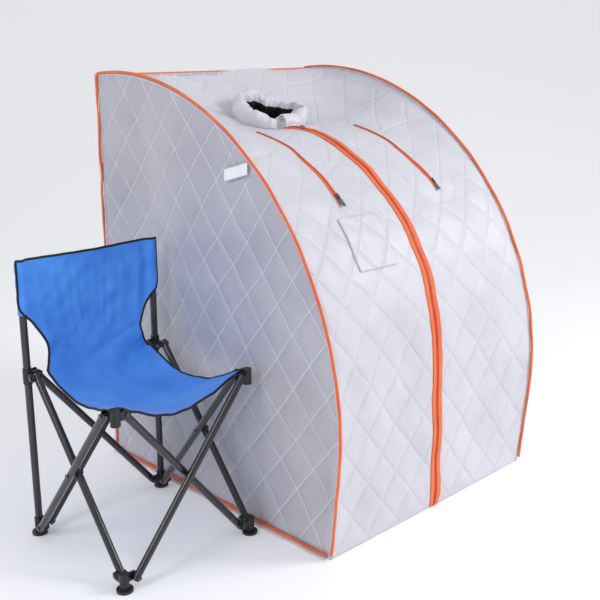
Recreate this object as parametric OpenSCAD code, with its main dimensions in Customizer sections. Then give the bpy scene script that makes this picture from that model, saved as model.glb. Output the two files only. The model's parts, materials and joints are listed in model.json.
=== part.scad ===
// Portable steam sauna: a quilted one-person tent on a rod frame, with a folding camp chair.
// Frame: origin at the centre of the tent floor, +Z up, the zipped front faces -Y.

/* [Tent] */
// Width over the two side panels
tent_w = 700; // [660:1:740]
// Height of the rear top corners
tent_h = 980; // [960:1:1000]
// Distance from the origin to the back panel
back_y = 395; // [385:1:405]
// Radius of the side arch
arch_r = 720; // [710:1:730]
// Angle at which the arch starts, behind its crown
arch_start = -7.5; // [-8:0.5:-7]
// Angle at which the arch turns into the straight front edge
arch_end = 96; // [94:0.5:98]
// Thickness of the quilted fabric
fabric_t = 4; // [3:0.5:5]
// Radius of the piping along the seams
piping_r = 3.2; // [2.5:0.1:4]

/* [Front zip] */
// Radius of the zip's arc on the centre line
zip_r = 500; // [490:1:510]
// Place of that arc's centre, back from the origin
zip_cy = 103; // [98:1:108]
// Height of that arc's centre
zip_cz = 353; // [348:1:358]
// Half width of the zip opening between the fabric edges
zip_gap = 14; // [12:0.5:16]
// Height where the lower door flaps start
flap_top_z = 500; // [480:1:520]

/* [Arm holes] */
// Distance of each arm zip from the centre line
arm_x = 165; // [155:1:175]
// Width of the arm zip tape
arm_tape_w = 13; // [10:1:16]

/* [Collar] */
// Distance of the neck hole behind the origin
collar_y = 170; // [165:1:175]
// Forward tilt of the collar
collar_tilt = 15; // [12:0.5:18]
// Inner radius of the neck opening
collar_r = 66; // [60:1:68]
// Outer radius of the gathered ring
collar_outer_r = 98; // [90:1:100]
// Height of the ring
collar_h = 60; // [50:1:70]

/* [Rod frame] */
// Radius of the fibreglass rods
rod_r = 4; // [3:0.5:4]
// Distance of the rods from the centre plane
rod_x = 333; // [330:0.5:334]

/* [Steam port] */
// Inner radius of the steam inlet
port_bore_r = 11; // [9:0.5:12]
// Distance of the inlet from the centre plane
port_x = 200; // [100:1:250]
// Height of the inlet
port_z = 120; // [80:1:200]

/* [Chair] */
// Distance of the chair's centre from the tent's centre, to the left
chair_x = -555; // [-600:1:-552]
// Distance of the chair's centre behind the origin
chair_y = -20; // [-60:1:100]
// Distance between neighbouring corners
chair_span = 330; // [320:1:340]
// Inset of each leg pivot from its corner
pivot_inset = 24; // [23:0.5:26]
// Height of the lower leg pivots
foot_z = 25; // [24:1:30]
// Height of the upper leg pivots
hub_z = 370; // [350:1:390]
// Height of the back posts
post_h = 620; // [600:1:650]
// Radius of the leg tubes and posts
tube_r = 8; // [7:0.5:8]
// Sag of the seat in its middle
seat_sag = 35; // [20:1:40]

/* [Hidden] */
$fn = 64;
eps = 0.01;
clear = 0.5;
half_w = tent_w / 2;
side_in = half_w - fabric_t;
cover_x = side_in - clear;

arch_cy = back_y + arch_r * sin(arch_start);
arch_cz = tent_h - arch_r * cos(arch_start);
arch_len = arch_r * (arch_end - arch_start) * PI / 180;
arch_end_y = arch_cy - arch_r * sin(arch_end);
arch_end_z = arch_cz + arch_r * cos(arch_end);
straight_len = arch_end_z / sin(arch_end);
front_len = arch_len + straight_len;

// Shares of the arch length where the centre line changes its form
dish_v = 0.22;
zip_v = 0.758;
front_v = 0.235;
flap_v = dish_v + (zip_v - dish_v) * acos((flap_top_z - zip_cz) / zip_r) / 90;
flap_low_v = 0.987;
flap_tape_z = flap_top_z - 76;
flap_tape_v = dish_v + (zip_v - dish_v) * acos((flap_tape_z - zip_cz) / zip_r) / 90;
flap_x0 = 4;
flap_x1 = 338;
seam_v = 0.0014;

// The dish behind the collar is one cubic curve on the centre line
dish_pts = [[back_y, tent_h], [330, 935], [200, zip_cz + zip_r], [zip_cy, zip_cz + zip_r]];

tape_x0 = 1;
tape_x1 = zip_gap - clear;
tape_t = 2.5;
coil_h = 1.8;
slider_a = 7;
slider_lift = coil_h + 0.6;
slider_t = 1.6;
bridge_w = 2;
bridge_l = 13;
bridge_h = 5.4;
pull_bar_r = 0.9;
pull_lift = slider_t + 1.8;
arm_slider_lift = 5.2;

arm_v0 = 0.272;
arm_v2 = 0.478;
arm_v1 = (arm_v0 + arm_v2) / 2;

con_r = 11;
con_y = back_y - 18;
con_low_z = fabric_t + con_r + 0.4;
sleeve_r = 7.5;
sleeve_l = 22;
socket_r = 4.6;
rod_start = 8;
rod_arch_r = arch_r - 28;
con_top_a = -asin((con_y - arch_cy) / rod_arch_r);
con_top_z = arch_cz + rod_arch_r * cos(con_top_a);
rod_end_y = arch_cy - rod_arch_r * sin(arch_end);
rod_end_z = arch_cz + rod_arch_r * cos(arch_end);
rod_straight = (rod_end_z - con_low_z) / sin(arch_end);
con_front_y = rod_end_y - cos(arch_end) * rod_straight;

port_wall = 5;
port_flange_r = 28;
port_out = 20;
port_in = 14;

half_c = chair_span / 2;
leg_span = chair_span - 2 * pivot_inset;
leg_rise = hub_z - foot_z;
leg_l = sqrt(leg_span * leg_span + leg_rise * leg_rise);
leg_a = atan2(leg_span, leg_rise);
leg_over = 8;
leg_off = tube_r + 1;
tube_wall = 1.2;
rivet_r = 3;
rivet_head_r = 5;
pin_clear = 0.05;
lug_t = 6.5;
lug_r = 8.5;
hub_r = 10;
post_clear = 0.08;
seat_edge = half_c - 12;
seat_top = hub_z + 22;
seat_t = 4;

FABRIC = [0.80, 0.80, 0.86];
ORANGE = [0.93, 0.38, 0.20];
METAL = [0.22, 0.22, 0.24];
ROD = [0.92, 0.92, 0.90];
BLACK = [0.06, 0.06, 0.07];
BLUE = [0.12, 0.42, 0.86];

// Point (y, z) of the side arch at a share v of its length, from the rear corner to the floor
function arch_point(v) =
    let (s = v * front_len, a = arch_angle(v))
    s <= arch_len
        ? [arch_cy - arch_r * sin(a), arch_cz + arch_r * cos(a)]
        : [arch_end_y - cos(a) * (s - arch_len), arch_end_z - sin(a) * (s - arch_len)];

function arch_angle(v) = min(arch_end, arch_start + v * front_len / arch_r * 180 / PI);

function cubic(p, t) =
    pow(1 - t, 3) * p[0] + 3 * t * pow(1 - t, 2) * p[1] + 3 * t * t * (1 - t) * p[2] + pow(t, 3) * p[3];

// Point (y, z) of the centre line at the same share v
function centre_point(v) =
    v < dish_v ? cubic(dish_pts, v / dish_v)
    : v < zip_v ? let (a = 90 * (v - dish_v) / (zip_v - dish_v)) [zip_cy - zip_r * sin(a), zip_cz + zip_r * cos(a)]
    : [zip_cy - zip_r, zip_cz * (1 - (v - zip_v) / (1 - zip_v))];

// Point of the cover, raised along the arch's outward direction
function cover_point(x, v, lift = 0) =
    let (
        rim = min(1, abs(x) / half_w),
        blend = 1 - pow(rim, 3),
        q = arch_point(v) * (1 - blend) + centre_point(v) * blend,
        a = arch_angle(v)
    )
    [x, q[0] - lift * sin(a), q[1] + lift * cos(a)];

function fold_v(x) = flap_v + (flap_low_v - flap_v) * (abs(x) - flap_x0) / (flap_x1 - flap_x0);

// Centre of the circle through three points (y, z)
function circle_centre(p, q, r) =
    let (
        d = 2 * (p[0] * (q[1] - r[1]) + q[0] * (r[1] - p[1]) + r[0] * (p[1] - q[1])),
        pp = p * p,
        qq = q * q,
        rr = r * r
    )
    [(pp * (q[1] - r[1]) + qq * (r[1] - p[1]) + rr * (p[1] - q[1])) / d,
     (pp * (r[0] - q[0]) + qq * (p[0] - r[0]) + rr * (q[0] - p[0])) / d];

function flat(p) = [p[1], p[2]];

arm_p0 = flat(cover_point(arm_x, arm_v0));
arm_p1 = flat(cover_point(arm_x, arm_v1));
arm_p2 = flat(cover_point(arm_x, arm_v2));
arm_c = circle_centre(arm_p0, arm_p1, arm_p2);
arm_r = norm(arm_p1 - arm_c);
arm_a0 = atan2(arm_c[0] - arm_p0[0], arm_p0[1] - arm_c[1]);
arm_a2 = atan2(arm_c[0] - arm_p2[0], arm_p2[1] - arm_c[1]);

// Closed shell between two grids of points of the same size
module grid_shell(outer, inner) {
    nx = len(outer) - 1;
    nv = len(outer[0]) - 1;
    count = (nx + 1) * (nv + 1);
    o = function (i, j) i * (nv + 1) + j;
    n = function (i, j) count + i * (nv + 1) + j;
    points = concat([for (row = outer) each row], [for (row = inner) each row]);
    faces = concat(
        [for (i = [0:nx - 1], j = [0:nv - 1]) each [
            [o(i, j), o(i + 1, j), o(i + 1, j + 1)],
            [o(i, j), o(i + 1, j + 1), o(i, j + 1)],
            [n(i, j), n(i + 1, j + 1), n(i + 1, j)],
            [n(i, j), n(i, j + 1), n(i + 1, j + 1)]]],
        [for (i = [0:nx - 1]) each [
            [o(i, 0), n(i, 0), n(i + 1, 0)],
            [o(i, 0), n(i + 1, 0), o(i + 1, 0)],
            [o(i, nv), o(i + 1, nv), n(i + 1, nv)],
            [o(i, nv), n(i + 1, nv), n(i, nv)]]],
        [for (j = [0:nv - 1]) each [
            [o(0, j), o(0, j + 1), n(0, j + 1)],
            [o(0, j), n(0, j + 1), n(0, j)],
            [o(nx, j + 1), o(nx, j), n(nx, j)],
            [o(nx, j + 1), n(nx, j), n(nx, j + 1)]]]
    );
    polyhedron(points, faces, convexity = 6);
}

// Piece of the cover between x0 and x1, and between the shares v0(x) and v1(x)
module cover_shell(x0, x1, v0, v1, nx, nv, lift = 0, thick = fabric_t) {
    at = function (i, j, h)
        let (x = x0 + (x1 - x0) * i / nx, v = v0(x) + (v1(x) - v0(x)) * j / nv)
        cover_point(x, v, h);
    grid_shell(
        [for (i = [0:nx]) [for (j = [0:nv]) at(i, j, lift)]],
        [for (i = [0:nx]) [for (j = [0:nv]) at(i, j, lift - thick)]]
    );
}

// Sweeps a flat profile, drawn as (radius, x), about an X axis; 0 degrees is up, 90 is the front
module arc_x(cy, cz, a0, a1) {
    translate([0, cy, cz]) rotate([0, -90, 180]) rotate([0, 0, a0])
        rotate_extrude(angle = a1 - a0, $fn = 180) children();
}

module bar(p, q, r) {
    d = q - p;
    l = norm(d);
    translate(p) rotate([0, acos(d[2] / l), atan2(d[1], d[0])]) cylinder(r = r, h = l);
}

module both_sides() {
    children();
    mirror([1, 0, 0]) children();
}

module side_outline() {
    steps = 48;
    polygon(concat(
        [[back_y, 0]],
        [for (i = [0:steps])
            let (a = arch_start + (arch_end - arch_start) * i / steps)
            [arch_cy - arch_r * sin(a), arch_cz + arch_r * cos(a)]],
        [[arch_point(1)[0], 0]]
    ));
}

module side_panel(x) {
    translate([x, 0, 0]) rotate([90, 0, 90]) linear_extrude(fabric_t) side_outline();
}

module floor_mat() {
    mat_front = arch_point(1)[0] + 8;
    color("silver") translate([-cover_x, mat_front, 0])
        cube([2 * cover_x, back_y - fabric_t - 1 - mat_front, fabric_t]);
}

module left_side_panel() {
    color(FABRIC) side_panel(-half_w);
}

module right_side_panel() {
    color(FABRIC) side_panel(side_in);
}

module back_panel() {
    color(FABRIC) difference() {
        translate([-cover_x, back_y - fabric_t, 0]) cube([2 * cover_x, fabric_t, tent_h - 9]);
        translate([port_x, back_y - fabric_t - 1, port_z]) rotate([-90, 0, 0])
            cylinder(r = port_bore_r + port_wall + clear, h = fabric_t + 2);
    }
}

module collar_place(height) {
    base_z = centre_point(0.165)[1] + 4;
    translate([0, collar_y, base_z]) rotate([collar_tilt, 0, 0]) translate([0, 0, height]) children();
}

module top_cover() {
    color(FABRIC) difference() {
        cover_shell(-cover_x, cover_x, function (x) 0, function (x) front_v - seam_v, 16, 8);
        collar_place(-60) cylinder(r = collar_r + 3, h = 120);
    }
}

module front_cover() {
    cover_shell(zip_gap, cover_x, function (x) front_v, function (x) fold_v(x) - seam_v, 8, 14);
}

module door_flap() {
    cover_shell(zip_gap, flap_x1, function (x) fold_v(x), function (x) 1, 7, 8);
}

module left_front_cover() {
    color(FABRIC) mirror([1, 0, 0]) front_cover();
}

module right_front_cover() {
    color(FABRIC) front_cover();
}

module left_door_flap() {
    color(FABRIC) mirror([1, 0, 0]) door_flap();
}

module right_door_flap() {
    color(FABRIC) door_flap();
}

// Piping round one side panel, in four lengths: arch, straight front edge, back edge and floor edge
module side_piping() {
    off = piping_r + 0.1;
    gap = 0.4;
    seam_x = half_w - 2;
    face_x = half_w + off;
    floor_z = piping_r + 2;
    top_r = arch_r + off;
    p_arch = [seam_x, arch_cy - top_r * sin(arch_end), arch_cz + top_r * cos(arch_end)];
    down = [0, -cos(arch_end), -sin(arch_end)];
    arc_x(arch_cy, arch_cz, arch_start + 0.6, arch_end) translate([top_r, seam_x]) circle(r = piping_r);
    bar(p_arch + down * gap, p_arch + down * (straight_len - 6), piping_r);
    bar([seam_x, back_y + off, floor_z], [seam_x, back_y + off, tent_h - 4], piping_r);
    bar([face_x, 4 - back_y, floor_z], [face_x, back_y, floor_z], piping_r);
}

module left_piping() {
    color(ORANGE) mirror([1, 0, 0]) side_piping();
}

module right_piping() {
    color(ORANGE) side_piping();
}

module rear_piping() {
    x = half_w - 9;
    z = tent_h - 1;
    y = back_y + piping_r + 0.1;
    color(ORANGE) bar([-x, y, z], [x, y, z], piping_r);
}

// Half of the zip: a woven tape with half of the coil along its edge
module zip_half(v0, v1, steps) {
    cover_shell(tape_x0, tape_x1, function (x) v0, function (x) v1, 1, steps, 0, tape_t);
    cover_shell(tape_x0, tape_x0 + 3, function (x) v0, function (x) v1, 1, steps, coil_h, coil_h + 1);
}

module left_zip_tape() {
    color(ORANGE) mirror([1, 0, 0]) zip_half(front_v, flap_v - seam_v, 24);
}

module right_zip_tape() {
    color(ORANGE) zip_half(front_v, flap_v - seam_v, 24);
}

module left_zip_tape_lower() {
    color(ORANGE) mirror([1, 0, 0]) zip_half(flap_tape_v, 1, 12);
}

module right_zip_tape_lower() {
    color(ORANGE) zip_half(flap_tape_v, 1, 12);
}

// Places a child on the centre line's arc: local +Y points up the zip and +Z away from the fabric
module on_zip(a, height) {
    translate([0, zip_cy, zip_cz]) rotate([a, 0, 0]) translate([0, 0, zip_r + height]) children();
}

// Slider plate with a bridge along it; the pull's bar turns under the bridge
module slider_body(width, length, lift) {
    top = lift + slider_t;
    translate([-width / 2, -length / 2, lift]) cube([width, length, slider_t]);
    for (y = [-bridge_l / 2, bridge_l / 2 - bridge_w]) {
        translate([-bridge_w / 2, y, top - eps]) cube([bridge_w, bridge_w, bridge_h]);
    }
    translate([-bridge_w / 2, -bridge_l / 2, top + bridge_h - bridge_w]) cube([bridge_w, bridge_l, bridge_w]);
}

module zip_slider() {
    under = 1.6;
    color(METAL) on_zip(slider_a, 0) {
        slider_body(13, 18, slider_lift);
        translate([-0.6, -9, -tape_t - 1.2]) cube([1.2, 6, slider_lift + tape_t + 1.6]);
        translate([-5.5, -9, -tape_t - 1.2 - under]) cube([11, 18, under]);
    }
}

// Flat pull: a bar under the slider's bridge, two arms beside it and a plate in front of it
module pull_tab(length, width) {
    arm_in = bridge_w / 2 + 0.6;
    arm_w = 1.6;
    plate_y = bridge_l / 2 + 3.5;
    translate([-arm_in - arm_w, 0, 0]) rotate([0, 90, 0]) cylinder(r = pull_bar_r, h = 2 * (arm_in + arm_w));
    for (x = [-arm_in - arm_w, arm_in]) {
        translate([x, -plate_y - 1, -pull_bar_r]) cube([arm_w, plate_y + 1, 2 * pull_bar_r]);
    }
    translate([-width / 2, -length, -pull_bar_r]) cube([width, length - plate_y, 2 * pull_bar_r]);
}

module zip_pull() {
    color(ORANGE) on_zip(slider_a, slider_lift + pull_lift) pull_tab(36, 12);
}

module arm_tape() {
    arc_x(arm_c[0], arm_c[1], arm_a0, arm_a2)
        translate([arm_r + 1.8, arm_x - arm_tape_w / 2]) square([1.6, arm_tape_w]);
    arc_x(arm_c[0], arm_c[1], arm_a0 + 0.5, arm_a2 - 0.5)
        translate([arm_r + 3.3, arm_x - 2]) square([1.4, 4]);
}

module on_arm_zip(height) {
    translate([arm_x, arm_c[0], arm_c[1]]) rotate([arm_a2 - 1.5, 0, 0])
        translate([0, 0, arm_r + height]) children();
}

module arm_slider() {
    on_arm_zip(0) slider_body(9, 16, arm_slider_lift);
}

module arm_pull() {
    on_arm_zip(arm_slider_lift + pull_lift) pull_tab(28, 9);
}

module left_arm_tape() {
    color(ORANGE) mirror([1, 0, 0]) arm_tape();
}

module right_arm_tape() {
    color(ORANGE) arm_tape();
}

module left_arm_slider() {
    color(METAL) mirror([1, 0, 0]) arm_slider();
}

module right_arm_slider() {
    color(METAL) arm_slider();
}

module left_arm_pull() {
    color(METAL) mirror([1, 0, 0]) arm_pull();
}

module right_arm_pull() {
    color(METAL) arm_pull();
}

module neck_collar() {
    foot = 12;
    color(FABRIC) collar_place(0) rotate_extrude($fn = 96) polygon([
        [collar_r + 2, foot],
        [collar_r + 10, foot],
        [collar_outer_r - 8, foot + 4],
        [collar_outer_r, foot + 0.4 * collar_h],
        [collar_outer_r - 8, foot + 0.85 * collar_h],
        [collar_r + 8, foot + collar_h],
        [collar_r, foot + 0.95 * collar_h]
    ]);
}

module collar_tab() {
    color(FABRIC) collar_place(26) rotate([0, 0, -112])
        rotate_extrude(angle = 36, $fn = 96) translate([collar_outer_r + 0.8, 0]) square([3, 26]);
}

module patch_pocket() {
    color(FABRIC) cover_shell(-200, -85, function (x) 0.505, function (x) 0.59, 4, 4, 4, 3.4);
}

module side_tag() {
    color("white") translate([-half_w - 2.2, -158, 784]) rotate([4, 0, 0]) cube([1.8, 78, 26]);
}

module arch_rod() {
    step_a = rod_start / rod_arch_r * 180 / PI;
    p = [rod_x, rod_end_y, rod_end_z];
    q = p + [0, -cos(arch_end), -sin(arch_end)] * (rod_straight - rod_start);
    arc_x(arch_cy, arch_cz, con_top_a + step_a, arch_end) translate([rod_arch_r, rod_x]) circle(r = rod_r);
    bar(p, q, rod_r);
}

module left_arch_rod() {
    color(ROD) mirror([1, 0, 0]) arch_rod();
}

module right_arch_rod() {
    color(ROD) arch_rod();
}

module rear_posts() {
    color(ROD) both_sides()
        bar([rod_x, con_y, con_low_z + rod_start], [rod_x, con_y, con_top_z - rod_start], rod_r);
}

module floor_side_rods() {
    color(ROD) both_sides()
        bar([rod_x, con_front_y + rod_start, con_low_z], [rod_x, con_y - rod_start, con_low_z], rod_r);
}

module cross_rod(y, z) {
    x = rod_x - rod_start;
    bar([-x, y, z], [x, y, z], rod_r);
}

module cross_rods() {
    color(ROD) {
        cross_rod(con_y, con_top_z);
        cross_rod(con_y, con_low_z);
        cross_rod(con_front_y, con_low_z);
    }
}

// Three-way corner: a ball with a socket along each of three directions
module connector(p, directions) {
    difference() {
        union() {
            translate(p) sphere(r = con_r);
            for (d = directions) bar(p, p + d * sleeve_l, sleeve_r);
        }
        for (d = directions) bar(p + d * (rod_start - 2), p + d * (sleeve_l + 1), socket_r);
    }
}

module corner_connectors() {
    inward = [-1, 0, 0];
    color(BLACK) both_sides() {
        connector([rod_x, con_y, con_top_z], [inward, [0, 0, -1], [0, -cos(con_top_a), -sin(con_top_a)]]);
        connector([rod_x, con_y, con_low_z], [inward, [0, 0, 1], [0, -1, 0]]);
        connector([rod_x, con_front_y, con_low_z], [inward, [0, 1, 0], [0, cos(arch_end), sin(arch_end)]]);
    }
}

module along_port(y) {
    translate([port_x, back_y + y, port_z]) rotate([-90, 0, 0]) children();
}

module steam_port() {
    color(BLACK) difference() {
        union() {
            along_port(0.4) cylinder(r = port_flange_r, h = port_wall);
            along_port(-port_in) cylinder(r = port_bore_r + port_wall, h = port_in + 1);
            along_port(1) cylinder(r = port_bore_r + 3, h = port_out - 1);
        }
        along_port(-port_in - 1) cylinder(r = port_bore_r, h = port_in + port_out + 2);
    }
}

module steam_port_nut() {
    color(BLACK) difference() {
        along_port(-port_in + 1) cylinder(r = port_flange_r - 4, h = 8, $fn = 6);
        along_port(-port_in) cylinder(r = port_bore_r + port_wall + 0.1, h = 10);
    }
}

module chair_place() {
    translate([chair_x, chair_y, 0]) children();
}

// Side k of the chair: 0 front, 1 right, 2 back, 3 left; its plane is y = -half_c
module chair_side(k) {
    chair_place() rotate([0, 0, 90 * k]) children();
}

// Rivet along the side's normal, from offset a to offset b, with a head at each end
module rivet(x, z, a, b) {
    lo = min(a, b);
    hi = max(a, b);
    head = 1.6;
    translate([x, -half_c + lo, z]) rotate([-90, 0, 0]) cylinder(r = rivet_r, h = hi - lo);
    translate([x, -half_c + lo - head + eps, z]) rotate([-90, 0, 0]) cylinder(r = rivet_head_r, h = head);
    translate([x, -half_c + hi - eps, z]) rotate([-90, 0, 0]) cylinder(r = rivet_head_r, h = head);
}

// A leg of side k; way = 1 rises from the left foot to the right hub, -1 falls
module leg(k, way) {
    off = -way * leg_off;
    x0 = -way * leg_span / 2;
    dir = [way * sin(leg_a), 0, cos(leg_a)];
    base = [x0, -half_c + off, foot_z];
    far = off + (off > 0 ? tube_r + 0.3 : -tube_r - 0.3);
    near = off > 0 ? -lug_t - 0.3 : lug_t + 0.3;
    color(METAL) chair_side(k) {
        difference() {
            bar(base - dir * leg_over, base + dir * (leg_l + leg_over), tube_r);
            bar(base - dir * (leg_over + 1), base + dir * (leg_l + leg_over + 1), tube_r - tube_wall);
            if (way < 0) {
                translate([0, -half_c, foot_z + leg_rise / 2]) rotate([-90, 0, 0])
                    cylinder(r = rivet_r + pin_clear, h = 30);
            }
        }
        rivet(x0, foot_z, far, near);
        rivet(-x0, hub_z, far, near);
        if (way > 0) rivet(0, foot_z + leg_rise / 2, far, leg_off + tube_r + 0.3);
    }
}

// Lug of a foot or hub; it lies beside the outer leg (way = 1) or the inner leg (way = -1)
module lug(k, corner, way, z) {
    x = corner * (half_c - pivot_inset);
    y = -half_c + (way > 0 ? -clear : clear - lug_t);
    x_in = corner > 0 ? x : -half_c;
    chair_side(k) difference() {
        union() {
            translate([x_in, y, z - lug_r]) cube([pivot_inset, lug_t, 2 * lug_r]);
            translate([x, y, z]) rotate([-90, 0, 0]) cylinder(r = lug_r, h = lug_t);
        }
        translate([x, y - 1, z]) rotate([-90, 0, 0]) cylinder(r = rivet_r + pin_clear, h = lug_t + 2);
    }
}

// Corner k joins the left end of side k to the right end of side k - 1
module at_corner(k) {
    chair_side(k) translate([-half_c, -half_c, 0]) children();
}

module foot(k, has_post) {
    color(BLACK) difference() {
        union() {
            at_corner(k) cylinder(r = 17, h = 6);
            at_corner(k) cylinder(r = hub_r, h = foot_z + 14);
            lug(k, -1, 1, foot_z);
            lug(k + 3, 1, -1, foot_z);
        }
        if (has_post) at_corner(k) translate([0, 0, 8]) cylinder(r = tube_r + pin_clear, h = foot_z + 20);
    }
}

module hub(k, has_post) {
    color(BLACK) difference() {
        union() {
            at_corner(k) translate([0, 0, hub_z - 18]) cylinder(r = hub_r, h = 34);
            lug(k, -1, -1, hub_z);
            lug(k + 3, 1, 1, hub_z);
        }
        if (has_post) at_corner(k) translate([0, 0, hub_z - 19]) cylinder(r = tube_r + post_clear, h = 40);
    }
}

module chair_post(k) {
    color(METAL) at_corner(k) translate([0, 0, 8]) {
        difference() {
            cylinder(r = tube_r, h = post_h - 8);
            translate([0, 0, -1]) cylinder(r = tube_r - tube_wall, h = post_h - 14);
        }
    }
}

// Height of the seat's upper face over a point of the seat
function seat_height(x, y) =
    seat_top - seat_sag * (1 - pow(x / seat_edge, 2)) * (1 - pow(y / seat_edge, 2));

// Quarter of the sling seat, at corner k
module seat_quarter(k) {
    n = 6;
    at = function (i, j, h)
        let (x = -seat_edge + (seat_edge - 1) * i / n, y = -1 - (seat_edge - 1) * j / n)
        [x, y, seat_height(x, y) - h];
    color(BLUE) chair_side(k) grid_shell(
        [for (i = [0:n]) [for (j = [0:n]) at(i, j, 0)]],
        [for (i = [0:n]) [for (j = [0:n]) at(i, j, seat_t)]]
    );
}

module backrest() {
    w = chair_span - 2 * tube_r - 4;
    color(BLUE) chair_place()
        translate([-w / 2, half_c - 3, seat_top + 28]) cube([w, 6, post_h - seat_top - 34]);
}

floor_mat();
left_side_panel();
right_side_panel();
back_panel();
top_cover();
left_front_cover();
right_front_cover();
left_door_flap();
right_door_flap();
left_piping();
right_piping();
rear_piping();
left_zip_tape();
right_zip_tape();
left_zip_tape_lower();
right_zip_tape_lower();
zip_slider();
zip_pull();
left_arm_tape();
right_arm_tape();
left_arm_slider();
right_arm_slider();
left_arm_pull();
right_arm_pull();
neck_collar();
collar_tab();
patch_pocket();
side_tag();
left_arch_rod();
right_arch_rod();
rear_posts();
floor_side_rods();
cross_rods();
corner_connectors();
steam_port();
steam_port_nut();
chair_post(3);  // chair_post_left
chair_post(2);  // chair_post_right
foot(0, false);  // foot_front_left
foot(1, false);  // foot_front_right
foot(2, true);  // foot_rear_right
foot(3, true);  // foot_rear_left
hub(0, false);  // hub_front_left
hub(1, false);  // hub_front_right
hub(2, true);  // hub_rear_right
hub(3, true);  // hub_rear_left
leg(0, 1);  // leg_front_rising
leg(0, -1);  // leg_front_falling
leg(1, 1);  // leg_right_rising
leg(1, -1);  // leg_right_falling
leg(2, 1);  // leg_back_rising
leg(2, -1);  // leg_back_falling
leg(3, 1);  // leg_left_rising
leg(3, -1);  // leg_left_falling
seat_quarter(0);  // seat_front_left
seat_quarter(1);  // seat_front_right
seat_quarter(2);  // seat_rear_right
seat_quarter(3);  // seat_rear_left
backrest();
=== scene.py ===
"""Looks of the portable steam sauna: quilted tent, piping, zips, collar and sling chair."""

import json
import math

import bpy
import numpy as np
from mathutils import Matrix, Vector


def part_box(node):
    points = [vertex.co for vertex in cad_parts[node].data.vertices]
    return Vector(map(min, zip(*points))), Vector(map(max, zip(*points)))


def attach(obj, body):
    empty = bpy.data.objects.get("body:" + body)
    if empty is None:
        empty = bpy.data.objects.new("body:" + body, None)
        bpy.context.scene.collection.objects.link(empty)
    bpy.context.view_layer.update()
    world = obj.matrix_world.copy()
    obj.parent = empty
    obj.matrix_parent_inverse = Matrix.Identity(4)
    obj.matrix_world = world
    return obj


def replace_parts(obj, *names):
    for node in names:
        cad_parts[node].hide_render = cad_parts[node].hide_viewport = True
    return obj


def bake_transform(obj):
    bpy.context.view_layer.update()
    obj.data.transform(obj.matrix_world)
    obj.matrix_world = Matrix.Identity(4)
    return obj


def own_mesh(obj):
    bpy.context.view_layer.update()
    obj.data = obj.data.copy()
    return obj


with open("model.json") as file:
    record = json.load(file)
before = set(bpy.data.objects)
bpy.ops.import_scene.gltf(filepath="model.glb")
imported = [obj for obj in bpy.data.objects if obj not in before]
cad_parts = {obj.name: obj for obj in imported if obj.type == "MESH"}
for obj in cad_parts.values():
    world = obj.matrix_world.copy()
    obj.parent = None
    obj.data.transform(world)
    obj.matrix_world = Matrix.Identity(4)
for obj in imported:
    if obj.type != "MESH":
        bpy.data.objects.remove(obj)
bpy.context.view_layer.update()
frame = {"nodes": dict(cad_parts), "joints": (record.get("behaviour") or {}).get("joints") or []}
JOINTS = {joint["name"]: joint for joint in frame["joints"]}
NODES = frame["nodes"]
SIDE_NAMES = {-1: "left", 1: "right"}

# ---------------------------------------------------------------- driving dimensions, in metres

SIDE_LOW, SIDE_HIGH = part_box("left_side_panel")
HALF_W = -SIDE_LOW[0]
BACK_Y = SIDE_HIGH[1]
ARCH_R = 0.720
ARCH_CY = SIDE_LOW[1] + ARCH_R
ARCH_CZ = SIDE_HIGH[2] - ARCH_R
ARCH_START = -math.asin((BACK_Y - ARCH_CY) / ARCH_R)
ARCH_END = math.radians(96)
ARCH_LEN = ARCH_R * (ARCH_END - ARCH_START)
ARCH_END_YZ = (ARCH_CY - ARCH_R * math.sin(ARCH_END), ARCH_CZ + ARCH_R * math.cos(ARCH_END))
FRONT_LEN = ARCH_LEN + ARCH_END_YZ[1] / math.sin(ARCH_END)
TENT_H = ARCH_CZ + ARCH_R * math.cos(ARCH_START)

# A name ending in _V is a share of the cover's length, from its rear edge (0) to the floor (1)
ZIP_R = 0.500
ZIP_CY, ZIP_CZ = JOINTS["main_zip_travel"]["pos_m"][1:]
DISH_V = 0.22
ZIP_V = 0.758
FRONT_V = 0.235
FLAP_TOP_V = 0.656
FLAP_LOW = (0.338, 0.987)
ZIP_GAP = 0.014
ZIP_SPLAY = 0.011
COIL_PITCH = 0.004
ARM_ZIP_X = abs(JOINTS["left_arm_zip_travel"]["pos_m"][0])
ARM_ZIP_V = (0.272, 0.482)
POCKET_V = (0.505, 0.590)
DISH = ((BACK_Y, TENT_H), (0.330, 0.935), (0.200, ZIP_CZ + ZIP_R), (ZIP_CY, ZIP_CZ + ZIP_R))

# FACE_IN is how far the middle of a padded face lies inside the box of its solid
CLOTH_T = 0.003
FACE_IN = 0.0035
QUILT_W = 0.095
QUILT_H = 0.118
QUILT_SPAN = 1.0 / math.hypot(1 / QUILT_W, 1 / QUILT_H)
STITCH_W = 0.0055
STITCH_PITCH = 0.0045
PIPING_R = 0.0034
FLANGE_W = 0.0105
FLANGE_T = 0.0016

COLLAR_Y = 0.170
COLLAR_Z = 0.8685
COLLAR_TILT = math.radians(15)
COLLAR_OUT = 0.096
COLLAR_HEIGHT = 0.041
COLLAR_FRONT_DROP = 0.26
COLLAR_ROWS = 26
NECK_HOLE_R = 0.070
PORT_HOLE_R = 0.018
TAB_MIDDLE = math.radians(-94)
TAB_HALF_W = 0.023

# ---------------------------------------------------------------- small maths helpers


def smooth(low, high, value):
    """0 below low, 1 above high, an s-curve between them."""
    t = np.clip((value - low) / (high - low), 0.0, 1.0)
    return t * t * (3.0 - 2.0 * t)


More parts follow.
